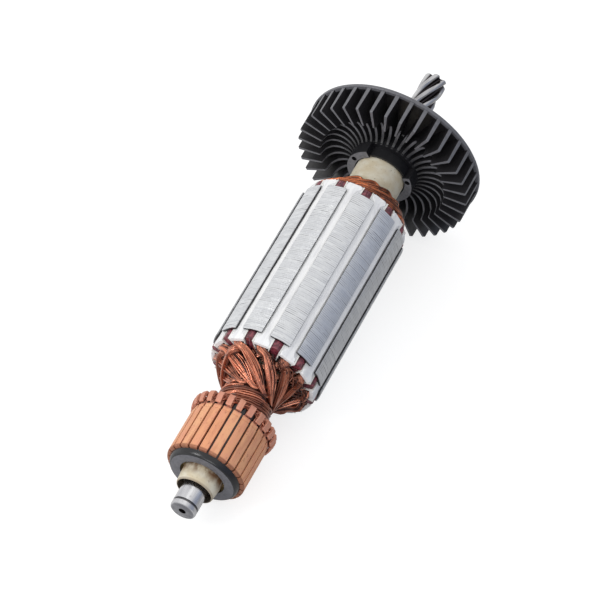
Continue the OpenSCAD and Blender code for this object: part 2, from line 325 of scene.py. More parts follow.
def build_rotor_space():
    """Where a surface point lies on the rotor: its point in millimetres, its station and its radius."""
    group = Group("rotor_space", {}, ("Vector Point", "Float Station", "Float Radius"))
    place = group.add("ShaderNodeTexCoord").outputs["Object"]
    offset = group.add("ShaderNodeVectorMath", {0: place, 1: CORE_FRONT}, operation="SUBTRACT").outputs[0]
    x, y, z = (group.dot(offset, direction / MM) for direction in (DOWN, ACROSS, AXIS))
    point = group.add("ShaderNodeCombineXYZ", {0: x, 1: y, 2: z}).outputs[0]
    squares = group.math("ADD", group.math("MULTIPLY", x, x), group.math("MULTIPLY", y, y))
    return group.give(Point=point, Station=z, Radius=group.math("SQRT", squares))


def build_patches():
    """A soft-edged noise mask; Stretch scales each direction, Low and High set where it starts and ends."""
    group = Group("patches", {"Point": (0, 0, 0), "Stretch": (1, 1, 1), "Detail": 3.0,
                              "Low": 0.4, "High": 0.6})
    given = group.given
    point = group.add("ShaderNodeVectorMath", {0: given["Point"], 1: given["Stretch"]},
                      operation="MULTIPLY").outputs[0]
    noise = group.add("ShaderNodeTexNoise", {"Vector": point, "Scale": 1.0, "Detail": given["Detail"]})
    return group.give(Mask=group.ramp(noise.outputs[0], given["Low"], given["High"]))


def build_facing():
    """How far a surface faces one direction, from 0 at Low to 1 at High."""
    group = Group("facing", {"Direction": (0, 0, 1), "Low": 0.3, "High": 0.9})
    turn = group.dot(group.add("ShaderNodeNewGeometry").outputs["Normal"], group.given["Direction"])
    return group.give(Mask=group.ramp(turn, group.given["Low"], group.given["High"]))


def build_band():
    """A soft band: 1 where the value lies within Half of Middle, fading out over Soft."""
    group = Group("band", {"Value": 0.0, "Middle": 0.0, "Half": 1.0, "Soft": 0.5})
    given = group.given
    away = group.math("ABSOLUTE", group.math("SUBTRACT", given["Value"], given["Middle"]))
    past = group.math("SUBTRACT", away, given["Half"])
    fade = group.add("ShaderNodeMath", {0: 1.0, 1: group.math("DIVIDE", past, given["Soft"])},
                     operation="SUBTRACT", use_clamp=True).outputs[0]
    return group.give(Mask=fade)


def build_thin_edges():
    """1 on the narrow edges of a radial vane and 0 on its broad sides."""
    group = Group("thin_edges", {"Point": (1, 0, 0), "Radius": 1.0})
    normal = group.add("ShaderNodeNewGeometry").outputs["Normal"]
    lean_x, lean_y = group.dot(normal, DOWN), group.dot(normal, ACROSS)
    place = group.add("ShaderNodeSeparateXYZ", {0: group.given["Point"]}).outputs
    turning = group.math("SUBTRACT", group.math("MULTIPLY", place[0], lean_y),
                         group.math("MULTIPLY", place[1], lean_x))
    sideways = group.math("ABSOLUTE", group.math("DIVIDE", turning, group.given["Radius"]))
    return group.give(Mask=group.ramp(sideways, 0.75, 0.35))


def build_seams():
    """Thin dark lines between the sheets of a stack, each of its own strength; also each sheet's shade."""
    group = Group("seams", {"Station": 0.0, "Pitch": 1.0}, ("Float Line", "Float Shade"))
    count = group.math("DIVIDE", group.given["Station"], group.given["Pitch"])
    sheet = group.math("FLOOR", group.math("ADD", count, 0.5))
    shade = group.add("ShaderNodeTexWhiteNoise", {"W": sheet}, noise_dimensions="1D").outputs["Value"]
    line = group.ramp(group.math("ABSOLUTE", group.math("SUBTRACT", count, sheet)), 0.26, 0.08)
    strength = group.math("ADD", 0.22, group.math("MULTIPLY", 0.78, group.math("POWER", shade, 2.2)))
    return group.give(Line=group.math("MULTIPLY", line, strength), Shade=shade)


GROUPS = {"rotor_space": build_rotor_space(), "patches": build_patches(), "facing": build_facing(),
          "band": build_band(), "thin_edges": build_thin_edges(), "seams": build_seams()}


class Finish(Graph):
    """A material with one Principled shader, whose tone is laid on in layers."""

    def __init__(self, name, **constants):
        self.material = bpy.data.materials.new(name)
        self.material.use_nodes = True
        super().__init__(self.material.node_tree)
        self.shader = self.tree.nodes["Principled BSDF"]
        for label, value in constants.items():
            self.shader.inputs[label.replace("_", " ")].default_value = value
        self.space = self.group("rotor_space", {}).outputs
        self.tone = None

    def group(self, name, inputs):
        return self.add("ShaderNodeGroup", inputs, node_tree=GROUPS[name])

    def patches(self, stretch, low, high, detail=3.0):
        return self.group("patches", {"Point": self.space["Point"], "Stretch": stretch, "Low": low,
                                      "High": high, "Detail": detail}).outputs[0]

    def facing(self, direction, low, high):
        return self.group("facing", {"Direction": direction, "Low": low, "High": high}).outputs[0]

    def band(self, value, middle, half, soft):
        return self.group("band", {"Value": self.space[value], "Middle": middle, "Half": half,
                                   "Soft": soft}).outputs[0]

    def tint(self):
        return self.add("ShaderNodeAttribute", attribute_name="tint").outputs["Fac"]

    def cover(self, mask, amount, colour):
        """Lays a colour over the tone by a share of the mask."""
        if amount < 1:
            mask = self.math("MULTIPLY", mask, amount)
        self.tone = self.mix(mask, self.tone, colour)

    def set(self, label, value):
        self.tree.links.new(value, self.shader.inputs[label])

    def done(self, roughness=None, height=None, depth_mm=0.0, strength=1.0):
        """Connects the tone, the roughness and the relief, and returns the material."""
        self.set("Base Color", self.tone)
        if roughness is not None:
            self.set("Roughness", roughness)
        if height is not None:
            bump = self.add("ShaderNodeBump", {"Height": height, "Strength": strength,
                                               "Distance": depth_mm * MM})
            self.set("Normal", bump.outputs[0])
        return self.material


# ---- Finishes ----

TOWARDS_FRONT = tuple(-AXIS)


def lamination_finish():
    finish = Finish("ground_laminations", Metallic=1.0)
    seams = finish.group("seams", {"Station": finish.space["Station"], "Pitch": SHEET_PITCH}).outputs
    finish.tone = finish.mix(seams["Shade"], rgb(0.66, 0.67, 0.69), rgb(0.76, 0.77, 0.78))
    broken = finish.patches((0.22, 0.22, 0.9), 0.36, 0.62, 4.0)
    finish.cover(finish.math("MULTIPLY", seams["Line"], broken), 0.85, rgb(0.10, 0.10, 0.12))
    scuff = finish.patches((0.35, 0.35, 7.0), 0.60, 0.78, 4.0)
    finish.cover(scuff, 0.45, rgb(0.24, 0.24, 0.27))
    # Painted shade: below the ground tooth tips, the slot necks and walls are near black, standing in for the
    # shade in the slots.
    painted_slot_shade = finish.ramp(finish.space["Radius"], CORE_R - 0.2, CORE_R - 0.4, "LINEAR")
    finish.cover(painted_slot_shade, 0.95, rgb(0.035, 0.033, 0.035))
    wear = finish.patches((0.5, 0.5, 8.0), 0.35, 0.7)
    grain = finish.patches((1.2, 1.2, 30.0), 0.3, 0.7, 2.0)
    return finish.done(finish.between(wear, 0.36, 0.5), grain, 0.012, 0.5)


def enamel_finish():
    """Enamelled wire: red-brown to salmon towards the commutator, more orange at the fan end."""
    finish = Finish("enamelled_wire", Metallic=0.85, Coat_Weight=0.7, Coat_Roughness=0.12)
    # The tint carries painted shade: wires deeper in a bundle are darker.
    tint = finish.tint()
    finish.tone = finish.mix(tint, rgb(0.045, 0.008, 0.005), rgb(0.78, 0.28, 0.16))
    fan_end = finish.band("Station", CORE_HIGH + 9, 5.5, 4.0)
    orange = finish.mix(finish.math("POWER", tint, 2.2), rgb(0.035, 0.006, 0.003), rgb(0.66, 0.17, 0.045))
    finish.cover(fan_end, 0.85, orange)
    dark = finish.patches((0.45, 0.45, 0.5), 0.52, 0.70)
    finish.cover(dark, 0.7, rgb(0.035, 0.008, 0.006))
    grain = finish.patches((3.0, 3.0, 3.0), 0.3, 0.7)
    return finish.done(finish.between(tint, 0.42, 0.16), grain, 0.02, 0.4)


def bar_finish():
    finish = Finish("turned_copper", Metallic=0.5)
    finish.tone = finish.mix(finish.tint(), rgb(0.80, 0.37, 0.20), rgb(0.88, 0.49, 0.27))
    pink = finish.patches((0.6, 0.6, 0.35), 0.42, 0.68)
    finish.cover(pink, 0.55, rgb(0.78, 0.34, 0.22))
    front_end = finish.band("Station", BAR_LOW, 0.5, 0.5)
    finish.cover(front_end, 0.75, rgb(0.20, 0.06, 0.035))
    hooks = finish.band("Station", BAR_REAR - 1.4, 2.2, 1.0)
    finish.cover(hooks, 0.7, rgb(0.62, 0.27, 0.21))
    stain = finish.patches((1.3, 1.3, 0.8), 0.58, 0.74, 4.0)
    finish.cover(stain, 0.6, rgb(0.35, 0.13, 0.07))
    rubbed = finish.patches((1.0, 1.0, 0.12), 0.46, 0.72, 4.0)
    finish.cover(rubbed, 0.45, rgb(0.55, 0.22, 0.12))
    dull = finish.patches((3.0, 3.0, 0.3), 0.3, 0.7)
    turning = finish.patches((0.4, 0.4, 22.0), 0.3, 0.7, 2.0)
    return finish.done(finish.between(dull, 0.42, 0.58), turning, 0.01, 0.5)


def black_finish(name, base, lit, painted_light):
    """A black moulding; the last argument masks the faces and edges whose colour is painted lit grey, as
    painted light.
    """
    finish = Finish(name, Specular_IOR_Level=0.5)
    dust = finish.patches((0.9, 0.9, 0.9), 0.35, 0.75, 5.0)
    # Painted light: the masked faces and edges take the lit grey colour.
    finish.tone = finish.mix(painted_light(finish), base, lit)
    finish.cover(dust, 0.25, rgb(0.006, 0.006, 0.007))
    grain = finish.patches((5.0, 5.0, 5.0), 0.3, 0.7)
    return finish.done(finish.between(dust, 0.36, 0.50), grain, 0.02, 0.3)


# Painted light: faces turned to the front are lit grey in the colour, as if by the front lamp.
def painted_front_light(finish):
    return finish.facing(TOWARDS_FRONT, 0.955, 0.985)


# Painted light: the narrow vane edges are lit grey in the colour.
def painted_vane_edge_light(finish):
    space = finish.space
    edges = finish.group("thin_edges", {"Point": space["Point"], "Radius": space["Radius"]}).outputs[0]
    return finish.math("MULTIPLY", edges, finish.band("Radius", 25.0, 9.0, 4.0))


# Painted light: the disc's rim is lit grey in the colour.
def painted_rim_light(finish):
    return finish.band("Radius", DISC_R, 1.0, 0.3)


def moulding_finish():
    """The commutator moulding: front face painted lit grey as painted light, glossy black shoulder, copper
    dust in the grooves.
    """
    finish = Finish("commutator_moulding", Specular_IOR_Level=0.5)
    # Painted light: the front face of the black moulding is lit grey in its colour.
    face = finish.math("MULTIPLY", painted_front_light(finish), finish.band("Radius", 8.6, 1.9, 0.3))
    finish.tone = finish.mix(face, rgb(0.010, 0.010, 0.012), rgb(0.15, 0.15, 0.17))
    dust = finish.patches((0.9, 0.9, 0.9), 0.35, 0.75, 5.0)
    finish.cover(dust, 0.3, rgb(0.008, 0.008, 0.010))
    track = finish.band("Station", (BAR_LOW + TRACK_END) / 2, (TRACK_END - BAR_LOW) / 2 - 0.3, 0.5)
    finish.cover(track, 0.85, rgb(0.030, 0.008, 0.005))
    grain = finish.patches((5.0, 5.0, 5.0), 0.3, 0.7)
    return finish.done(finish.between(face, 0.22, 0.42), grain, 0.02, 0.3)


def cream_finish():
    """Cream plastic with a stained root, a darker brown rim and a pocket painted near black as painted shade.
    """
    finish = Finish("cream_sleeve", Roughness=0.5)
    clouds = finish.patches((0.25, 0.25, 0.35), 0.35, 0.7, 4.0)
    finish.tone = finish.mix(clouds, rgb(0.76, 0.71, 0.58), rgb(0.66, 0.57, 0.40))
    root = finish.band("Station", MOULDING_FRONT, 0.5, 2.8)
    stain = finish.math("MULTIPLY", root, finish.patches((0.35, 0.35, 0.2), 0.3, 0.62))
    finish.cover(stain, 1, rgb(0.17, 0.08, 0.03))
    rim = finish.band("Station", SLEEVE_FRONT, 0.25, 0.5)
    finish.cover(rim, 0.6, rgb(0.22, 0.15, 0.09))
    # Painted shade: the pocket round the journal is near black.
    bore = finish.band("Radius", SLEEVE_POCKET_R - 0.6, 0.7, 0.15)
    finish.cover(bore, 0.92, rgb(0.030, 0.018, 0.010))
    specks = finish.patches((1.4, 1.4, 1.4), 0.64, 0.74, 2.0)
    finish.cover(specks, 0.6, rgb(0.26, 0.18, 0.10))
    return finish.done(None, clouds, 0.05, 0.3)


def paper_finish(name, light, shade):
    finish = Finish(name, Roughness=0.7)
    finish.tone = finish.mix(finish.patches((0.8, 0.8, 0.12), 0.4, 0.75, 4.0), light, shade)
    return finish.done(None, finish.patches((2.0, 2.0, 1.0), 0.3, 0.7), 0.06, 0.4)


def fibre_finish():
    finish = Finish("red_fibre", Coat_Weight=0.5, Coat_Roughness=0.25)
    blotch = finish.patches((0.9, 0.9, 0.9), 0.4, 0.65, 4.0)
    finish.tone = finish.mix(blotch, rgb(0.085, 0.008, 0.018), rgb(0.25, 0.045, 0.065))
    grain = finish.patches((2.5, 2.5, 2.5), 0.3, 0.7)
    return finish.done(finish.between(blotch, 0.5, 0.35), grain, 0.08, 0.6)


def steel_finish():
    """Ground steel: streaked and filmed, darker on its end face, with painted shade in its relief, between
    the teeth and in the centre holes.
    """
    finish = Finish("ground_shaft", Metallic=1.0)
    streak = finish.patches((0.5, 0.5, 0.06), 0.35, 0.68, 4.0)
    finish.tone = finish.mix(streak, rgb(0.80, 0.80, 0.81), rgb(0.50, 0.50, 0.52))
    film = finish.patches((0.5, 0.5, 0.5), 0.60, 0.74, 5.0)
    finish.cover(film, 0.5, rgb(0.13, 0.12, 0.12))
    end = finish.facing(TOWARDS_FRONT, 0.9, 0.98)
    finish.cover(end, 0.75, rgb(0.13, 0.13, 0.15))
    # Painted shade: the relief groove is near black.
    relief = finish.band("Station", SHAFT_FRONT + RELIEF_AT, 0.24, 0.1)
    finish.cover(relief, 0.85, rgb(0.02, 0.02, 0.022))
    pinion = finish.band("Station", SHAFT_END, 18.0, 1.0)
    finish.cover(pinion, 0.4, rgb(0.24, 0.23, 0.23))
    # Painted shade: the tooth roots and the centre holes are near black.
    painted_root_shade = finish.math("MULTIPLY", finish.band("Radius", PINION_ROOT_R, 0.6, 0.5), pinion)
    centre = finish.band("Radius", 0.0, CENTRE_HOLE_R, 0.1)
    finish.cover(finish.math("MAXIMUM", painted_root_shade, centre), 1, rgb(0.035, 0.03, 0.032))
    grinding = finish.patches((0.6, 0.6, 20.0), 0.3, 0.7)
    return finish.done(finish.between(streak, 0.14, 0.3), grinding, 0.004, 0.3)


def brass_finish():
    finish = Finish("turned_brass", Metallic=1.0)
    dull = finish.patches((0.7, 0.7, 0.7), 0.4, 0.7)
    finish.tone = finish.mix(dull, rgb(0.72, 0.50, 0.20), rgb(0.42, 0.29, 0.14))
    return finish.done(finish.between(dull, 0.3, 0.5))


SHEET_PITCH = 0.649
CORE_LOW, CORE_HIGH, CORE_R = reach("lamination_stack")
SLEEVE_FRONT, SLEEVE_REAR, COLLAR_R = reach("insulating_sleeve")
MOULDING_FRONT, MOULDING_REAR = reach("commutator_moulding")[:2]
BAR_LOW, BAR_REAR, HOOK_R = reach("commutator_bar_01")
TRACK_END = -26.0
FAN_REAR, DISC_R = reach("fan")[1:]
SHAFT_FRONT, SHAFT_END, SEAT_R = reach("shaft")
RELIEF_AT = 1.9
CENTRE_HOLE_R = 1.1
PINION_ROOT_R = 2.4
SLEEVE_POCKET_R = 5.35
WIRE = enamel_finish()
LAMINATION = lamination_finish()
COPPER = bar_finish()
MOULDED_BLACK = moulding_finish()
# Painted light: the vanes' thin edges, the disc's rim and the ears' front faces are lit grey in the colour.
VANE_BLACK = black_finish("fan_vanes", rgb(0.019, 0.018, 0.020), rgb(0.15, 0.15, 0.165), painted_vane_edge_light)
FAN_BLACK = black_finish("fan_disc", rgb(0.008, 0.008, 0.010), rgb(0.14, 0.14, 0.155), painted_rim_light)
EAR_BLACK = black_finish("fan_ears", rgb(0.012, 0.012, 0.014), rgb(0.19, 0.19, 0.21), painted_front_light)
CREAM = cream_finish()
LINER = paper_finish("liner_paper", rgb(0.88, 0.87, 0.84), rgb(0.72, 0.69, 0.62))
WEDGE = paper_finish("wedge_strip", rgb(0.92, 0.92, 0.92), rgb(0.78, 0.78, 0.80))
FIBRE = fibre_finish()
STEEL = steel_finish()
BRASS = brass_finish()

# ---- Core ----

SLOTS = 12
SLOT_STEP = 360 / SLOTS
TOOTH_W = 3.0
SLOT_OPENING = 2.9
SLOT_SHOULDER_R = 16.75
SLOT_FLOOR_R = 10.5
SLOT_MOUTH_R = SLOT_SHOULDER_R + 0.4
SLEEVE_CORE_R = 7.3
LINER_T = 0.35
STAR_T = CORE_LOW - reach("front_fibre_star")[0]
STAR_R = reach("front_fibre_star")[2]
WEDGE_LOW, WEDGE_HIGH, WEDGE_R = reach("slot_wedge_01")


def slot_half(radius):
    """Half width of a slot beside parallel-sided teeth."""
    half_step = math.radians(SLOT_STEP / 2)
    return radius * math.tan(half_step) - TOOTH_W / 2 / math.cos(half_step)


def slot_floor(steps):
    """The round bottom of a slot, from one wall to the other."""
    half = slot_half(SLOT_FLOOR_R)
    return [(SLOT_FLOOR_R - half * math.sin(math.pi * k / steps), -half * math.cos(math.pi * k / steps))
            for k in range(steps + 1)]


def around_slots(side):
    """The outline of the whole wheel: on each slot the given wall points, then the round floor."""
    ring = [(x, -y, 0) for x, y in side] + [(x, y, 0) for x, y in slot_floor(3) + side[::-1]]
    return [(x, y) for k in range(SLOTS) for x, y, _ in rotated(ring, k * SLOT_STEP)]


def circle(radius, steps, x=0.0, y=0.0):
    turns = [TAU * k / steps for k in range(steps)]
    return [(x + radius * math.cos(a), y + radius * math.sin(a)) for a in turns]


def lamination_outline():
    """One sheet: tooth tips as arcs, slot necks, slot walls and round slot floors."""
    edge = math.degrees(math.asin(SLOT_OPENING / 2 / CORE_R))
    tip_steps = 5
    tip = [polar(CORE_R, edge + (SLOT_STEP / 2 - edge) * (tip_steps - k) / tip_steps, 0)[:2]
           for k in range(tip_steps)]
    wall = tip + [(CORE_R * math.cos(math.radians(edge)), SLOT_OPENING / 2),
                  (SLOT_MOUTH_R, SLOT_OPENING / 2), (SLOT_SHOULDER_R, slot_half(SLOT_SHOULDER_R))]
    return around_slots(wall)


def build_core():
    """Ninety sheets; each stands a hair proud of or behind its neighbours and has a rounded edge."""
    rng = random.Random(3)
    outline = np.array(lamination_outline())
    outer = np.hypot(outline[:, 0], outline[:, 1]) > SLOT_MOUTH_R + 0.2
    sheets = round((CORE_HIGH - CORE_LOW) / SHEET_PITCH)
    pitch = (CORE_HIGH - CORE_LOW) / sheets
    groove, edge = 0.045, 0.09
    rings = []
    for k in range(sheets):
        low = CORE_LOW + k * pitch
        proud = 1 - rng.random() ** 2 * 0.0022
        for z, inset in ((low, groove), (low + edge, 0.0), (low + pitch - edge, 0.0)):
            scale = np.where(outer, proud - inset / CORE_R, 1.0)[:, None]
            rings.append((z, outline * scale))
    rings.append((CORE_HIGH, outline * np.where(outer, 1 - groove / CORE_R, 1.0)[:, None]))
    n = len(outline)
    bore = circle(SLEEVE_CORE_R, 48)
    mesh = Mesh()
    points = [(x, y, z) for z, ring in rings for x, y in ring]
    faces = skin(len(rings), n)
    base = len(points)
    points += [(x, y, z) for z in (CORE_LOW, CORE_HIGH) for x, y in bore]
    b = len(bore)
    faces += [(base + j, base + b + j, base + b + (j + 1) % b, base + (j + 1) % b) for j in range(b)]
    flat = [Vector((x, y, 0)) for x, y in rings[0][1]] + [Vector((x, y, 0)) for x, y in bore]
    low_index = list(range(n)) + list(range(base, base + b))
    high_index = list(range((len(rings) - 1) * n, len(rings) * n)) + list(range(base + b, base + 2 * b))
    for cap in tessellate_polygon([flat[:n], flat[n:]]):
        cap = upward(flat, cap)
        faces.append(tuple(low_index[i] for i in reversed(cap)))
        faces.append(tuple(high_index[i] for i in cap))
    mesh.add(points, faces)
    mesh.piece("lamination_sheets", "lamination_steel", LAMINATION, ["lamination_stack"], sharp=28)


def build_star(name, bore_r, low, high):
    """A fibre star: one arm with a rounded end on each tooth."""
    edge = math.degrees(math.atan2(slot_half(STAR_R), STAR_R))
    half = SLOT_STEP / 2 - edge
    steps = 4
    arm_end = []
    for k in range(steps):
        rounding = 1.3 * (1 - math.sqrt(1 - (0.97 * k / steps) ** 2))
        arm_end.append(polar(STAR_R - rounding, SLOT_STEP / 2 - half * k / steps, 0)[:2])
    outline = around_slots(arm_end + [(SLOT_SHOULDER_R - 0.3, slot_half(SLOT_SHOULDER_R - 0.3) + 0.1)])
    mesh = Mesh()
    mesh.add(*plate([outline, circle(bore_r, 48)], low, high))
    mesh.piece(name + "_board", "fibre", FIBRE, [name], sharp=30, bevel=0.45, segments=3)


def build_wedge(i, rng):
    """The closing strip of one slot: slightly wavy, with torn ends that spread wide beyond the core."""
    lined = slot_half(SLOT_SHOULDER_R) - LINER_T
    foot = SLOT_SHOULDER_R - 0.85
    lined_foot = slot_half(foot) - LINER_T
    neck = SLOT_OPENING / 2 - 0.22
    face = WEDGE_R - 0.3
    # One side of the strip, from its foot up to the middle of its face.
    side = [(foot, lined_foot), (SLOT_SHOULDER_R - 0.1, lined), (face - 0.12, neck), (face, neck - 0.15)]
    stations = 44
    rows = []
    for k in range(stations + 1):
        share = k / stations
        z = WEDGE_LOW + (WEDGE_HIGH - WEDGE_LOW) * (0.5 - 0.5 * math.cos(math.pi * share))
        beyond = max(CORE_LOW - z, z - CORE_HIGH, 0) / (CORE_LOW - WEDGE_LOW)
        sink = rng.uniform(0, 0.09) + 0.25 * beyond ** 2
        sway = 0.05 * math.sin(k * 0.7 + i) + rng.uniform(-0.03, 0.03)
        ends = []
        for hand in (-1, 1):
            spread = max(0, min(1, (beyond - 0.28) / 0.3)) * (1.25 + rng.uniform(-0.25, 0.15))
            spread *= 1 - 0.45 * max(0, (beyond - 0.8) / 0.2) ** 2
            ends.append([(x - sink, hand * (y + (spread if x > face - 0.2 else 0)) + sway, z)
                         for x, y in side])
        rows.append(ends[0] + ends[1][::-1])
    n = len(rows[0])
    mesh = Mesh()
    points = rotated([p for row in rows for p in row], i * SLOT_STEP)
    mesh.add(points, skin(len(rows), n) + caps(len(rows), n))
    number = f"{i + 1:02d}"
    mesh.piece(f"closing_strip_{number}", "wedge_strip", WEDGE, [f"slot_wedge_{number}"], bevel=0.12)


def build_liners(rng):
    """Twelve folded paper channels whose ends stand out of the slots and open slightly."""
    mesh = Mesh()
    half = slot_half(SLOT_FLOOR_R)
    top = SLOT_SHOULDER_R - 0.02
    lip = [(top, -slot_half(top)), (SLOT_FLOOR_R + 3, -slot_half(SLOT_FLOOR_R + 3))]
    centre = lip + slot_floor(8) + [(x, -y) for x, y in reversed(lip)]
    for i in range(SLOTS):
        for low, high in ((WEDGE_LOW, CORE_LOW + 2), (CORE_HIGH - 2, WEDGE_HIGH)):
            rows = []
            count = 5
            for k in range(count + 1):
                z = low + (high - low) * k / count
                free = max(CORE_LOW - z, z - CORE_HIGH, 0) / (CORE_LOW - WEDGE_LOW)
                flare = 1 + 0.035 * free ** 2
                ragged = rng.uniform(-0.12, 0.12) * free
                outer = [(x, y * flare, z + ragged * math.sin(3 * y)) for x, y in centre]
                inset = [(x + (LINER_T if abs(y) < half * 0.9 and x < SLOT_FLOOR_R else 0),
                          y - math.copysign(min(LINER_T, abs(y)), y), z) for x, y, _ in outer]
                rows.append(outer + inset[::-1])
            n = len(rows[0])
            points = rotated([p for row in rows for p in row], i * SLOT_STEP)
            faces = skin(len(rows), n)
            h = n // 2
            for row, flip in ((0, True), (count, False)):
                for j in range(h - 1):
                    quad = (row * n + j, row * n + j + 1, row * n + n - 2 - j, row * n + n - 1 - j)
                    faces.append(tuple(reversed(quad)) if flip else quad)
            mesh.add(points, faces)
    mesh.piece("slot_papers", "liner_paper", LINER, ["slot_liners"], sharp=40)


build_core()
detail_rng = random.Random(11)
build_star("front_fibre_star", SLEEVE_CORE_R, CORE_LOW - STAR_T, CORE_LOW)
build_star("rear_fibre_star", COLLAR_R, CORE_HIGH, CORE_HIGH + STAR_T)
for slot in range(SLOTS):
    build_wedge(slot, detail_rng)
build_liners(detail_rng)

# ---- Winding ----

UPPER_R = 14.5
LOWER_R = 11.6
SIDE_H = 1.2
BEND = CORE_LOW - WEDGE_LOW + 0.3
WIRE_R = 0.28
# One end turn from the upper side of a slot to the lower side five slots on:
# angle, radius, distance from the core face, half height and half width of the bundle.
FRONT_TURN = [
    (0, UPPER_R, BEND, SIDE_H, 1.6), (4, 14.7, BEND + 0.6, 1.15, 1.15), (10, 13.8, 4.7, 1.1, 1.4),
    (19, 12.4, 6.0, 1.05, 1.8), (30, 10.9, 7.5, 1, 2.0), (41, 9.6, 9.0, 0.9, 1.8),
    (52, 8.5, 10.4, 0.8, 1.4), (63, 7.8, 11.5, 0.7, 1.05), (74, 7.5, 12.0, 0.65, 0.95),
    (84, 7.4, 11.3, 0.7, 0.95), (95, 7.4, 10.1, 0.8, 0.95), (110, 7.9, 8.4, 0.9, 1),
    (127, 8.9, 6.5, 1, 1), (142, 10.4, 4.9, 1.1, 1), (150, LOWER_R, BEND, SIDE_H, 0.95)]
REAR_TURN = [
    (0, UPPER_R, BEND, SIDE_H, 1.6), (6, 14.6, BEND + 0.8, 1.2, 1.5), (18, 13.7, 5.3, 1.15, 1.45),
    (33, 12.5, 6.5, 1.1, 1.4), (48, 11.4, 7.9, 1.05, 1.25), (60, 10.5, 9.2, 1, 1.1),
    (68, 9.9, 10.2, 0.95, 1.05), (75, 9.4, 10.8, 0.95, 1), (82, 9.1, 10.5, 0.95, 1),
    (92, 9.1, 9.4, 1, 1), (108, 9.2, 7.8, 1, 1), (126, 9.6, 6.1, 1.05, 1.05),
    (142, 10.6, 4.8, 1.1, 1), (150, LOWER_R, BEND, SIDE_H, 0.95)]
# The second half of a front end turn that lies over its neighbours, for the coils wound last.
TOP_RETURN = [
    (73, 8.0, 11.9, 0.75, 0.95), (88, 8.7, 11.2, 0.85, 1.1), (103, 9.6, 9.9, 0.9, 1.3),
    (116, 10.8, 8.4, 1, 1.45), (128, 12.2, 6.8, 1.05, 1.5), (138, 13.4, 5.4, 1.1, 1.5),
    (146, 13.4, BEND + 0.9, SIDE_H, 1.3), (150, LOWER_R, BEND, SIDE_H, 0.95)]
TOP_COILS = (0, 11)
# How far the free half of a front end turn lies below its neighbours, for the coils that do.
SUNK = {6: 0.4, 7: 0.8, 8: 1.6, 9: 2.0, 10: 1.4}
# Rows of wires in a bundle: place outwards from -1 to 1, how many lie side by side, and how bright they are,
# which is painted shade: the lower rows are darker.
WIRE_ROWS = [(-0.8, 4, 0.1), (-0.25, 5, 0.15), (0.25, 7, 0.3), (0.62, 8, 0.45), (0.95, 8, 0.7)]
WIRE_SLIM = 0.92
# Coils whose varnish is torn where they leave the slot, and how many threads hang there.
FRAYED = {6: 12, 7: 30, 8: 44, 9: 44}
BULGE_TURN = 265
BULGE = 1.7


def turn_rows(stations, face, sign, sunk=0.0, bulge_at=None):
    """Stations of an end turn as rows of x, y, z, half height and half width; a turn can sink or bulge."""
    rows = []
    for turn, radius, out, height, width in stations:
        lift = -sunk * math.sin(math.pi * min(1, turn / 60)) if turn < 60 else 0
        if bulge_at is not None:
            window = math.sin(math.pi * min(1, max(0, (out - BEND) / 9)))
            lift += BULGE * window * max(0, math.cos(math.radians(turn - bulge_at)))
        rows.append([*polar(radius + lift, turn, face + sign * out), height, width])
    return rows


def build_coil(i, rng):
    """One coil of enamelled wire: every wire is a closed loop through two slots and both end turns."""
    front_turn = FRONT_TURN[:8] + TOP_RETURN if i in TOP_COILS else FRONT_TURN
    sunk = SUNK.get(i, rng.uniform(0.0, 0.5))
    rear = smooth_path(turn_rows(REAR_TURN, CORE_HIGH, 1, bulge_at=BULGE_TURN - i * SLOT_STEP), 3)
    front = smooth_path(turn_rows(reversed(front_turn), CORE_LOW, -1, sunk), 3)
    loop = np.vstack([rear, front])
    centre, height, width = loop[:, :3], loop[:, 3], loop[:, 4]
    up, side = crosswise(centre, True)
    phase = np.arange(len(loop)) / len(loop) * TAU
    # Wires wander only outside the slots.
    free = np.clip((np.maximum(-centre[:, 2], centre[:, 2] - CORE_HIGH) - BEND) / 3, 0, 1)
    mesh = Mesh()
    for row, count, painted_row_shade in WIRE_ROWS:
        for k in range(count):
            u = (k + 0.5) / count * 2 - 1
            wander_u = rng.uniform(0.04, 0.2) * np.sin(rng.choice((2, 3, 4)) * phase + rng.uniform(0, TAU))
            wander_v = rng.uniform(0.03, 0.14) * np.sin(rng.choice((3, 4, 6)) * phase + rng.uniform(0, TAU))
            across = (u * 0.95 + free * (wander_u + rng.uniform(-0.07, 0.07))) * (width - WIRE_R)
            lift = (row + free * (wander_v + rng.uniform(-0.06, 0.06))) * (height - WIRE_R)
            path = centre + across[:, None] * side + lift[:, None] * up
            points, faces = wire(path, WIRE_R * WIRE_SLIM * rng.uniform(0.9, 1.08), 6, closed=True)
            mesh.add(rotated(points, i * SLOT_STEP), faces, min(1, max(0, rng.gauss(painted_row_shade, 0.35))))
    for _ in range(FRAYED.get(i, 0)):
        radius, turn, z = rng.uniform(12.6, 15.8), rng.uniform(-15, 15), CORE_LOW - rng.uniform(3.2, 5.0)
        thread = []
        for _ in range(4):
            thread.append(polar(radius, turn, z))
            radius -= rng.uniform(-0.35, 0.95)
            turn += rng.uniform(-3, 5)
            z -= rng.uniform(-0.3, 0.9)
        points, faces = wire(smooth_path(thread, 2), rng.uniform(0.12, 0.24), 5)
        mesh.add(rotated(points, i * SLOT_STEP), faces, max(0, rng.gauss(0.1, 0.2)))
    number = f"{i + 1:02d}"
    mesh.piece(f"wire_coil_{number}", "coil_wire", WIRE, [f"coil_{number}"], sharp=80)


WRAPS_LOW, WRAPS_HIGH = reach("lead_wraps")[:2]
NECK_R = 6.3
WRAP_R = 7.25
LEAD_WIRE_R = 0.36
LEAD_CLIMB = 1 / 28
BARS = 24
BAR_STEP = 360 / BARS
BAR_TURN = -1.3
HOOK_LEAD_R = 12.1
HOOK_LEAD_Z = -22.35


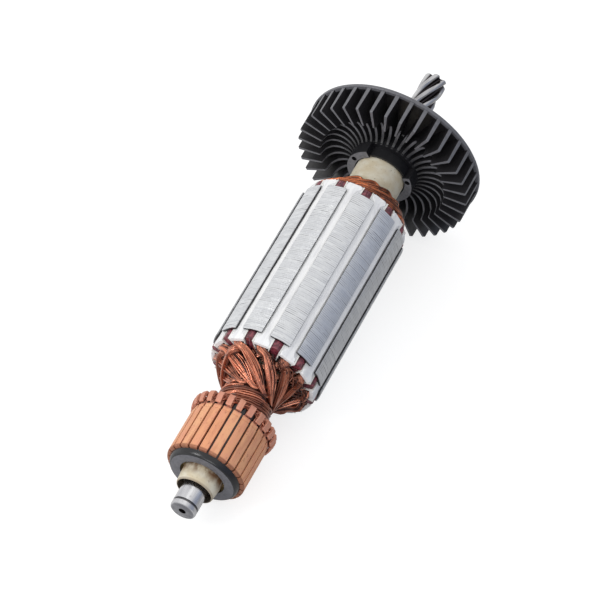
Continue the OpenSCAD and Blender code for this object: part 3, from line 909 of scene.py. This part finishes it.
def build_leads(rng):
    """A near-black band round the neck, standing in for the inner wraps in painted shade, and the leads: each
    crosses a hook, dives to the neck and winds up to the coils.
    """
    mesh = Mesh()
    top = WRAPS_HIGH + 2.4
    # Painted shade: the band takes the darkest wire tint.
    shade_backing = [(NECK_R, WRAPS_LOW), (WRAP_R, WRAPS_LOW), (WRAP_R + 0.1, top), (NECK_R, top)]
    mesh.add(*turned(shade_backing, steps=48), tint=0.02)
    for k in range(BARS):
        turn = BAR_TURN + k * BAR_STEP
        layer = WRAP_R + LEAD_WIRE_R + (0.55 if k % 2 else 0.05)
        shift = rng.uniform(-0.3, 0.3)
        low = WRAPS_LOW + 1.1
        way = [(-30, WRAP_R, low + 1.0), (-19, layer, low), (-11, layer + 2.0, low - 1.0),
               (-6.5, HOOK_LEAD_R - 1.0, HOOK_LEAD_Z + 0.9), (-3.5, HOOK_LEAD_R - 0.1, HOOK_LEAD_Z + 0.1),
               (0, HOOK_LEAD_R, HOOK_LEAD_Z), (3.5, HOOK_LEAD_R - 0.1, HOOK_LEAD_Z + 0.1),
               (6.5, HOOK_LEAD_R - 1.0, HOOK_LEAD_Z + 0.9), (11, layer + 2.0, low - 1.0),
               (19, layer + 0.3, low - 0.2)]
        spiral = rng.uniform(170, 205)
        steps = 12
        for j in range(1, steps + 1):
            t = j / steps
            dive = 0.9 * max(0, t - 0.85) / 0.15
            way.append((19 + spiral * t, layer - dive + rng.uniform(-0.06, 0.06),
                        low + spiral * t * LEAD_CLIMB + rng.uniform(-0.12, 0.12)))
        path = smooth_path([polar(r, turn + a, z + shift * min(1, abs(a) / 30)) for a, r, z in way], 3)
        mesh.add(*wire(path, LEAD_WIRE_R * rng.uniform(0.92, 1.04), 7), tint=rng.uniform(0.1, 0.95))
    mesh.piece("neck_wraps", "coil_wire", WIRE, ["lead_wraps"], sharp=80)


for slot in range(SLOTS):
    build_coil(slot, detail_rng)
build_leads(detail_rng)

# ---- Commutator ----

BAR_R = 12.5
BAR_REAR_END = -21.2
GROOVE_W = 0.65
GROOVE_D = 0.8
BAR_ARC = BAR_STEP - 2 * math.degrees(math.asin(GROOVE_W / 2 / BAR_R))
HOOK_W = 1.8
BAR_FOOT_R = 9.6
BAR_LIP_R = 11.3
BUSH_R = 7.4


def build_bar(i, rng):
    """One copper bar with its turned track, the step behind it and the hook bent over the lead."""
    mesh = Mesh()
    tint = min(1, max(0, rng.gauss(0.5, 0.25)))
    turn = BAR_TURN + i * BAR_STEP
    step_end = TRACK_END + 1.7
    outline = [(BAR_LIP_R, BAR_LOW), (BAR_R - 0.45, BAR_LOW), (BAR_R - 0.12, BAR_LOW + 0.2),
               (BAR_R, BAR_LOW + 0.6), (BAR_R, TRACK_END), (BAR_R - 0.28, TRACK_END + 0.18),
               (BAR_R - 0.2, TRACK_END + 0.4), (BAR_R - 0.2, step_end - 0.2), (BAR_R - 0.45, step_end),
               (BAR_FOOT_R, step_end), (BAR_FOOT_R, BAR_LOW + 0.4), (BAR_LIP_R, BAR_LOW + 0.4)]
    mesh.add(*turned(outline[::-1], turn - BAR_ARC / 2, BAR_ARC, 6), tint=tint)
    riser = [(9.8, step_end - 0.3), (BAR_R - 1.0, step_end - 0.3), (BAR_R - 0.9, step_end),
             (BAR_R - 0.9, BAR_REAR_END + 0.4), (9.8, BAR_REAR_END + 0.4)]
    hook = [(HOOK_R - 3.0, BAR_REAR_END), (HOOK_R - 3.0, BAR_REAR), (HOOK_R - 0.8, BAR_REAR),
            (HOOK_R - 0.25, BAR_REAR - 0.2), (HOOK_R, BAR_REAR - 0.75), (HOOK_R - 0.03, BAR_REAR - 2.0),
            (HOOK_R - 0.45, TRACK_END + 1.95), (HOOK_R - 0.75, TRACK_END + 1.75),
            (HOOK_R - 1.1, TRACK_END + 1.9), (HOOK_R - 0.85, BAR_REAR - 1.9), (HOOK_R - 0.9, BAR_REAR_END)]
    width = HOOK_W * rng.uniform(0.97, 1.05)
    lean = rng.uniform(-0.5, 0.5)
    for profile, across in ((riser, width * 0.9), (hook, width)):
        n = len(profile)
        points = [(r, side * across / 2, z) for side in (-1, 1) for r, z in profile]
        faces = [(j, n + j, n + (j + 1) % n, (j + 1) % n) for j in range(n)]
        faces += [tuple(range(n)), tuple(reversed(range(n, 2 * n)))]
        if profile is riser:
            faces = [tuple(reversed(face)) for face in faces]
        mesh.add(rotated(points, turn + lean), faces, tint=min(1, tint + 0.2))
    number = f"{i + 1:02d}"
    mesh.piece(f"copper_bar_{number}", "bar_copper", COPPER, [f"commutator_bar_{number}"], bevel=0.08)


def build_moulding():
    """The front face inside the ring of bars, and the floor of the grooves between them."""
    floor_r = BAR_R - GROOVE_D
    mesh = Mesh()
    mesh.add(*turned([
        (BUSH_R - 0.3, MOULDING_FRONT), (10.2, MOULDING_FRONT), (10.5, MOULDING_FRONT + 0.12),
        (10.85, MOULDING_FRONT + 0.5), (11.05, MOULDING_FRONT + 0.95), (11.25, MOULDING_FRONT + 1.5),
        (11.35, BAR_LOW), (floor_r - 0.2, BAR_LOW + 0.3), (floor_r, BAR_LOW + 1.0),
        (floor_r, TRACK_END + 1.2), (floor_r - 0.3, TRACK_END + 1.9), (floor_r - 0.3, MOULDING_REAR),
        (BUSH_R, MOULDING_REAR), (BUSH_R, BAR_LOW), (BUSH_R - 0.3, BAR_LOW)]))
    mesh.piece("moulded_core", "moulding_plastic", MOULDED_BLACK, ["commutator_moulding"], sharp=30,
               bevel=0.1)


for bar in range(BARS):
    build_bar(bar, detail_rng)
build_moulding()
NODES["commutator_bush"].data.materials[0] = BRASS

# ---- Shaft and sleeve ----

JOURNAL_R = mounts["journal_commutator_end"]["dims"]["r_mm"]
SHAFT_R = mounts["journal_drive_end"]["dims"]["r_mm"]
NECK_SHAFT_R = 4.6
POCKET_DEPTH = 2.2
NECK_END = -24
SEAT_START = 76
SEAT_END = 93
PINION_TEETH = 6
PINION_START = 105.0
PINION_TIP_R = 4.0
PINION_LEAD = 48.0


def build_shaft():
    """The ground shaft with its centre hole and relief, and the helical teeth hobbed into its end."""
    mesh = Mesh()
    front, relief = SHAFT_FRONT, SHAFT_FRONT + RELIEF_AT - 0.3
    journal_end = SLEEVE_FRONT + POCKET_DEPTH
    mesh.add(*lathe([
        (0.2, front + 2.4), (0.85, front + 1.2), (CENTRE_HOLE_R, front), (JOURNAL_R - 0.5, front),
        (JOURNAL_R - 0.12, front + 0.22), (JOURNAL_R, front + 0.6), (JOURNAL_R, relief - 0.1),
        (JOURNAL_R - 0.06, relief), (JOURNAL_R - 0.25, relief + 0.03), (JOURNAL_R - 0.25, relief + 0.57),
        (JOURNAL_R, relief + 0.65), (JOURNAL_R, journal_end), (NECK_SHAFT_R, journal_end),
        (NECK_SHAFT_R, NECK_END), (SHAFT_R, NECK_END), (SHAFT_R, SEAT_START), (SEAT_R, SEAT_START),
        (SEAT_R, SEAT_END), (SHAFT_R, SEAT_END), (SHAFT_R, PINION_START - 1.5),
        (PINION_TIP_R + 0.08, PINION_START - 0.5), (PINION_TIP_R + 0.05, PINION_START - 0.3),
        (PINION_ROOT_R - 0.1, PINION_START - 0.3), (PINION_ROOT_R - 0.1, PINION_START + 0.5)], steps=96))
    tooth = [(-0.5, 0), (-0.42, 0.02), (-0.36, 0.1), (-0.3, 0.36), (-0.24, 0.68), (-0.18, 0.9), (-0.12, 0.98),
             (0, 1), (0.12, 0.98), (0.18, 0.9), (0.24, 0.68), (0.3, 0.36), (0.36, 0.1), (0.42, 0.02)]
    slices = 48
    rings = []
    low, high = PINION_START - 1.3, SHAFT_END
    for k in range(slices + 1):
        z = low + (high - low) * k / slices
        cut = min(1, max(0, (z - low) / 2.2))
        depth = (PINION_TIP_R - PINION_ROOT_R) * math.sin(cut * math.pi / 2)
        chamfer = 0.35 * max(0, 1 - (high - z) / 0.4)
        for i in range(PINION_TEETH):
            for place, height in tooth:
                turn = (i + place) * 360 / PINION_TEETH + (z - PINION_START) * 360 / PINION_LEAD
                radius = PINION_TIP_R - depth * (1 - height) - chamfer * height
                rings.append(polar(radius, turn, z))
    n = PINION_TEETH * len(tooth)
    hole = [(CENTRE_HOLE_R, high), (0.85, high - 1.0), (0.2, high - 2.2)]
    rings += [polar(r, 360 * j / n, z) for r, z in hole for j in range(n)]
    count = slices + 1 + len(hole)
    mesh.add(rings, skin(count, n) + caps(count, n))
    mesh.piece("steel_shaft", "shaft_steel", STEEL, ["shaft"], sharp=32)


def build_sleeve():
    """The sleeve: a tapered front with a pocket round the journal, the part in the core and the collar."""
    mesh = Mesh()
    front, rear = SLEEVE_FRONT, SLEEVE_REAR
    mesh.add(*turned([
        (SLEEVE_POCKET_R, front + 0.2), (SLEEVE_POCKET_R + 0.15, front), (NECK_R - 0.75, front),
        (NECK_R - 0.55, front + 0.12), (NECK_R - 0.42, front + 0.5), (NECK_R - 0.12, front + 3.2),
        (NECK_R, MOULDING_FRONT + 0.6), (NECK_R, CORE_LOW - STAR_T), (SLEEVE_CORE_R, CORE_LOW - STAR_T),
        (SLEEVE_CORE_R, CORE_HIGH), (COLLAR_R, CORE_HIGH), (COLLAR_R, rear - 0.2), (COLLAR_R - 0.2, rear),
        (SEAT_R, rear), (SEAT_R, SEAT_START), (SHAFT_R, SEAT_START), (SHAFT_R, NECK_END),
        (NECK_SHAFT_R, NECK_END), (NECK_SHAFT_R, front + 4), (SLEEVE_POCKET_R, front + 4)]))
    mesh.piece("cream_sleeve", "sleeve_plastic", CREAM, ["insulating_sleeve"], sharp=32)


build_shaft()
build_sleeve()

# ---- Fan ----

VANES = 37
VANE_TURN = -3.1
VANE_R = 28.9
VANE_FRONT = 80.7
DISC_REAR = 91.2
DISC_FRONT = DISC_REAR - 1.5
BOSS_R = 11.1
BOSS_FRONT = 79.3
POCKET_R = 8.5
RING_R = 9.2
NOTCH_FLOOR = 83.6
NOTCH_TURN = 20.2
NOTCH_HALF = 45
HOLE_RING_R = 9.75
HOLE_R = 0.85
HOLE_TURNS = (117, -103)


def vane_outline():
    """Radius and station along a vane: the hub end, the dished rib, the step and the straight outer part."""
    dish = smooth_path([(BOSS_R - 0.4, 83.4), (12.2, 84.8), (14.5, 85.7), (17, 85.9), (19.2, 85.2),
                        (20.6, 83.6)], 4)
    corner = [(20.95, 82.2), (21.1, VANE_FRONT + 0.3), (21.4, VANE_FRONT)]
    outer = [(VANE_R - 0.25, VANE_FRONT), (VANE_R, VANE_FRONT + 0.25), (DISC_R - 0.3, DISC_FRONT + 0.2)]
    return [tuple(p) for p in dish] + corner + outer + [(BOSS_R - 0.4, DISC_FRONT + 0.2)]


def vane_half(radius, z):
    """Half the thickness of a vane, which grows towards the disc and at the outer end."""
    deep = min(1, max(0, (z - VANE_FRONT) / (DISC_FRONT - VANE_FRONT)))
    return 0.33 + 0.2 * deep + 0.15 * min(1, max(0, (radius - 26) / 2))


def build_fan():
    """The fan: radial vanes that thicken towards the disc, the rimmed disc and the hub with two ears."""
    outline = vane_outline()
    n = len(outline)
    vanes = Mesh()
    for i in range(VANES):
        points = [(r, hand * vane_half(r, z), z) for hand in (-1, 1) for r, z in outline]
        vanes.add(rotated(points, VANE_TURN + i * 360 / VANES), skin(2, n) + caps(2, n))
    vanes.piece("fan_vanes", "fan_plastic", VANE_BLACK, ["fan"], sharp=38, bevel=0.07)
    body = Mesh()
    body.add(*turned([
        (SEAT_R, SLEEVE_REAR), (POCKET_R, SLEEVE_REAR), (POCKET_R, BOSS_FRONT + 0.5),
        (RING_R, BOSS_FRONT + 0.5), (RING_R, NOTCH_FLOOR), (BOSS_R, NOTCH_FLOOR), (BOSS_R, DISC_FRONT - 0.3),
        (BOSS_R + 0.3, DISC_FRONT), (DISC_R - 0.9, DISC_FRONT), (DISC_R - 0.15, DISC_FRONT + 0.1),
        (DISC_R, DISC_FRONT + 0.3), (DISC_R, DISC_REAR - 0.5), (DISC_R - 0.4, DISC_REAR - 0.05),
        (DISC_R - 0.9, DISC_REAR), (DISC_R - 1.6, DISC_REAR), (DISC_R - 1.8, DISC_REAR - 0.25),
        (9.2, DISC_REAR - 0.25), (8.9, DISC_REAR), (8.3, DISC_REAR), (8, FAN_REAR), (SEAT_R, FAN_REAR)],
        steps=160))
    body.piece("fan_disc", "fan_plastic", FAN_BLACK, sharp=30)
    ears = Mesh()
    for side in range(2):
        middle = NOTCH_TURN + 90 + side * 180
        span = 90 - NOTCH_HALF
        arc = [middle - span + 2 * span * k / 16 for k in range(17)]
        outline = [polar(BOSS_R, a, 0)[:2] for a in arc] + [polar(POCKET_R, a, 0)[:2] for a in reversed(arc)]
        x, y, _ = polar(HOLE_RING_R, HOLE_TURNS[side], 0)
        ears.add(*plate([outline, circle(HOLE_R, 20, x, y)], BOSS_FRONT, NOTCH_FLOOR + 0.2))
    ears.piece("fan_hub_ears", "fan_plastic", EAR_BLACK, sharp=35, bevel=0.25)


build_fan()

# ---- Floor and light ----

FLOOR_SIZE = 6.0
FLOOR_GREY = 0.4
FLOOR_GLOW = 0.74
WORLD_LEVEL = 0.92
LAMP_AIM = (0, 0, 0.02)


def seen_directly(graph):
    """Two masks: rays from the eye, and rays by way of a polished or a clear surface."""
    rays = graph.add("ShaderNodeLightPath")
    mirrored = graph.math("MAXIMUM", rays.outputs["Is Glossy Ray"], rays.outputs["Is Transmission Ray"])
    return rays.outputs["Is Camera Ray"], mirrored


def add_floor():
    """White paper, whose mirror image in the metal is greyer on the shaded side of the part."""
    half = FLOOR_SIZE / 2
    data = bpy.data.meshes.new("floor")
    corners = [(-half, -half, 0), (half, -half, 0), (half, half, 0), (-half, half, 0)]
    data.from_pydata(corners, [], [(0, 1, 2, 3)])
    floor = bpy.data.objects.new("floor", data)
    bpy.context.scene.collection.objects.link(floor)
    material = bpy.data.materials.new("pale_floor")
    material.use_nodes = True
    graph = Graph(material.node_tree)
    shader = material.node_tree.nodes["Principled BSDF"]
    shader.inputs["Base Color"].default_value = rgb(FLOOR_GREY, FLOOR_GREY, FLOOR_GREY)
    shader.inputs["Roughness"].default_value = 0.9
    shader.inputs["Specular IOR Level"].default_value = 0.0
    shader.inputs["Emission Color"].default_value = rgb(1, 1, 1)
    eye, mirrored = seen_directly(graph)
    place = graph.add("ShaderNodeSeparateXYZ", {0: graph.add("ShaderNodeTexCoord").outputs["Object"]})
    lit_side = graph.ramp(place.outputs["Y"], -0.1, 0.15, "LINEAR")
    seen = graph.math("MAXIMUM", eye, graph.math("MULTIPLY", mirrored, lit_side))
    material.node_tree.links.new(graph.math("MULTIPLY", seen, FLOOR_GLOW), shader.inputs["Emission Strength"])
    data.materials.append(material)


def add_world():
    """An even sky, white above and greyer low down on one side; the eye sees it as plain white."""
    world = bpy.data.worlds.new("studio")
    bpy.context.scene.world = world
    world.use_nodes = True
    graph = Graph(world.node_tree)
    background = world.node_tree.nodes["Background"]
    eye, mirrored = seen_directly(graph)
    lean = graph.dot(graph.add("ShaderNodeTexCoord").outputs["Generated"], (0, 0.6, 0.8))
    lit = graph.mix(graph.ramp(lean, -0.25, 0.5), rgb(0.40, 0.44, 0.54), rgb(1.0, 1.0, 1.0))
    world.node_tree.links.new(graph.mix(eye, lit, rgb(1, 1, 1)), background.inputs["Color"])
    full = graph.math("MAXIMUM", eye, mirrored)
    strength = graph.between(full, WORLD_LEVEL, 1.0)
    world.node_tree.links.new(strength, background.inputs["Strength"])


def add_lamp(name, place, aim, size, power):
    data = bpy.data.lights.new(name, "AREA")
    data.shape = "SQUARE"
    data.size = size
    data.energy = power
    lamp = bpy.data.objects.new(name, data)
    lamp.location = place
    lamp.rotation_euler = (Vector(aim) - Vector(place)).to_track_quat("-Z", "Y").to_euler()
    bpy.context.scene.collection.objects.link(lamp)


add_floor()
add_world()
add_lamp("key", (-0.75, 0.6, 0.8), LAMP_AIM, 0.35, 3.0)
add_lamp("front_fill", (-0.9, -0.1, 0.35), LAMP_AIM, 0.4, 1.2)
bpy.context.scene.view_settings.view_transform = "Standard"
